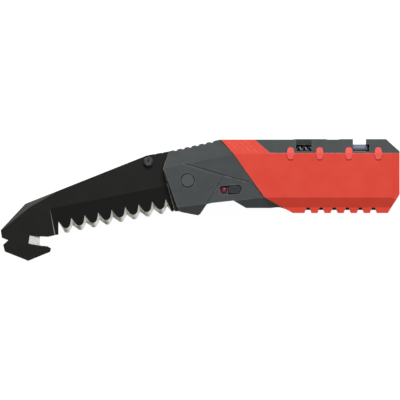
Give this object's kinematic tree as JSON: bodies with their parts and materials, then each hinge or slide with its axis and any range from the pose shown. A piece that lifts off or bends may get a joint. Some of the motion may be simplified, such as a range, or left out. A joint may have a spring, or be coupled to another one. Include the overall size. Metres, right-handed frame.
{
  "type": "folding rescue saw",
  "caption": "Folding rescue saw with a scalloped blade, hooked strap cutter, slide lock and spring-loaded glass striker in a red and grey handle",
  "frame": {"origin": "centre of the bounding box in X and Y, on the surface that the tool lies on", "axes": "+X along the handle to the butt, +Y to the spine, +Z out of the front side; the blade is open"},
  "size_m": [0.2536, 0.0774, 0.0247],
  "materials": {
    "black_blade": "black coated steel, bare ground edges",
    "black_fitting": "black oxide",
    "black_liner": "black coated steel with worn edges",
    "grey_fitting": "satin grey",
    "bare_steel": "satin bare steel",
    "spring_steel": "drawn wire",
    "bronze": "plain bearing bronze",
    "carbide": "ground carbide",
    "grey_shell": "fine textured moulding",
    "red_grip": "satin soft moulding",
    "grey_button": "satin",
    "red_marker": "gloss"
  },
  "bodies": {
    "handle": {"pivot_barrel": "grey_fitting", "pivot_screw": "black_fitting", "washer_front": "bronze", "washer_rear": "bronze", "stop_pin": "bare_steel", "liner_front": "black_liner", "liner_rear": "black_liner", "backspacer": "grey_shell", "front_spacers": "bare_steel", "striker_bush": "bronze", "spring_plug": "bare_steel", "striker_spring": "spring_steel", "scale_front": "grey_shell", "scale_rear": "grey_shell", "grip_front": "red_grip", "grip_rear": "red_grip", "unlocked_marker": "red_marker", "body_screws": "black_fitting"},
    "blade": {"blade": "black_blade", "thumb_stud_front": "black_fitting", "thumb_stud_rear": "black_fitting", "lock_disc": "bare_steel", "disc_rivets": "bare_steel"},
    "lock": {"lock_plate": "bare_steel", "lock_button": "grey_button", "lock_rivet": "bare_steel"},
    "striker": {"striker": "bare_steel", "striker_tip": "carbide"}
  },
  "joints": [
    {"name": "blade_fold", "type": "hinge", "parent": "handle", "child": "blade", "pos_m": [-0.00787, 0.01245, 0.0118], "axis": [0, 0, 1], "range_deg": [0, 161.5]},
    {"name": "lock_slide", "type": "slide", "parent": "handle", "child": "lock", "axis": [-0.9981, -0.061, 0], "range_m": [0, 0.0052]},
    {"name": "striker_pull", "type": "slide", "parent": "handle", "child": "striker", "axis": [1, 0, 0], "range_m": [-0.006, 0.0025], "stiffness_N_per_m": 300, "deforming": ["striker_spring"]}
  ]
}
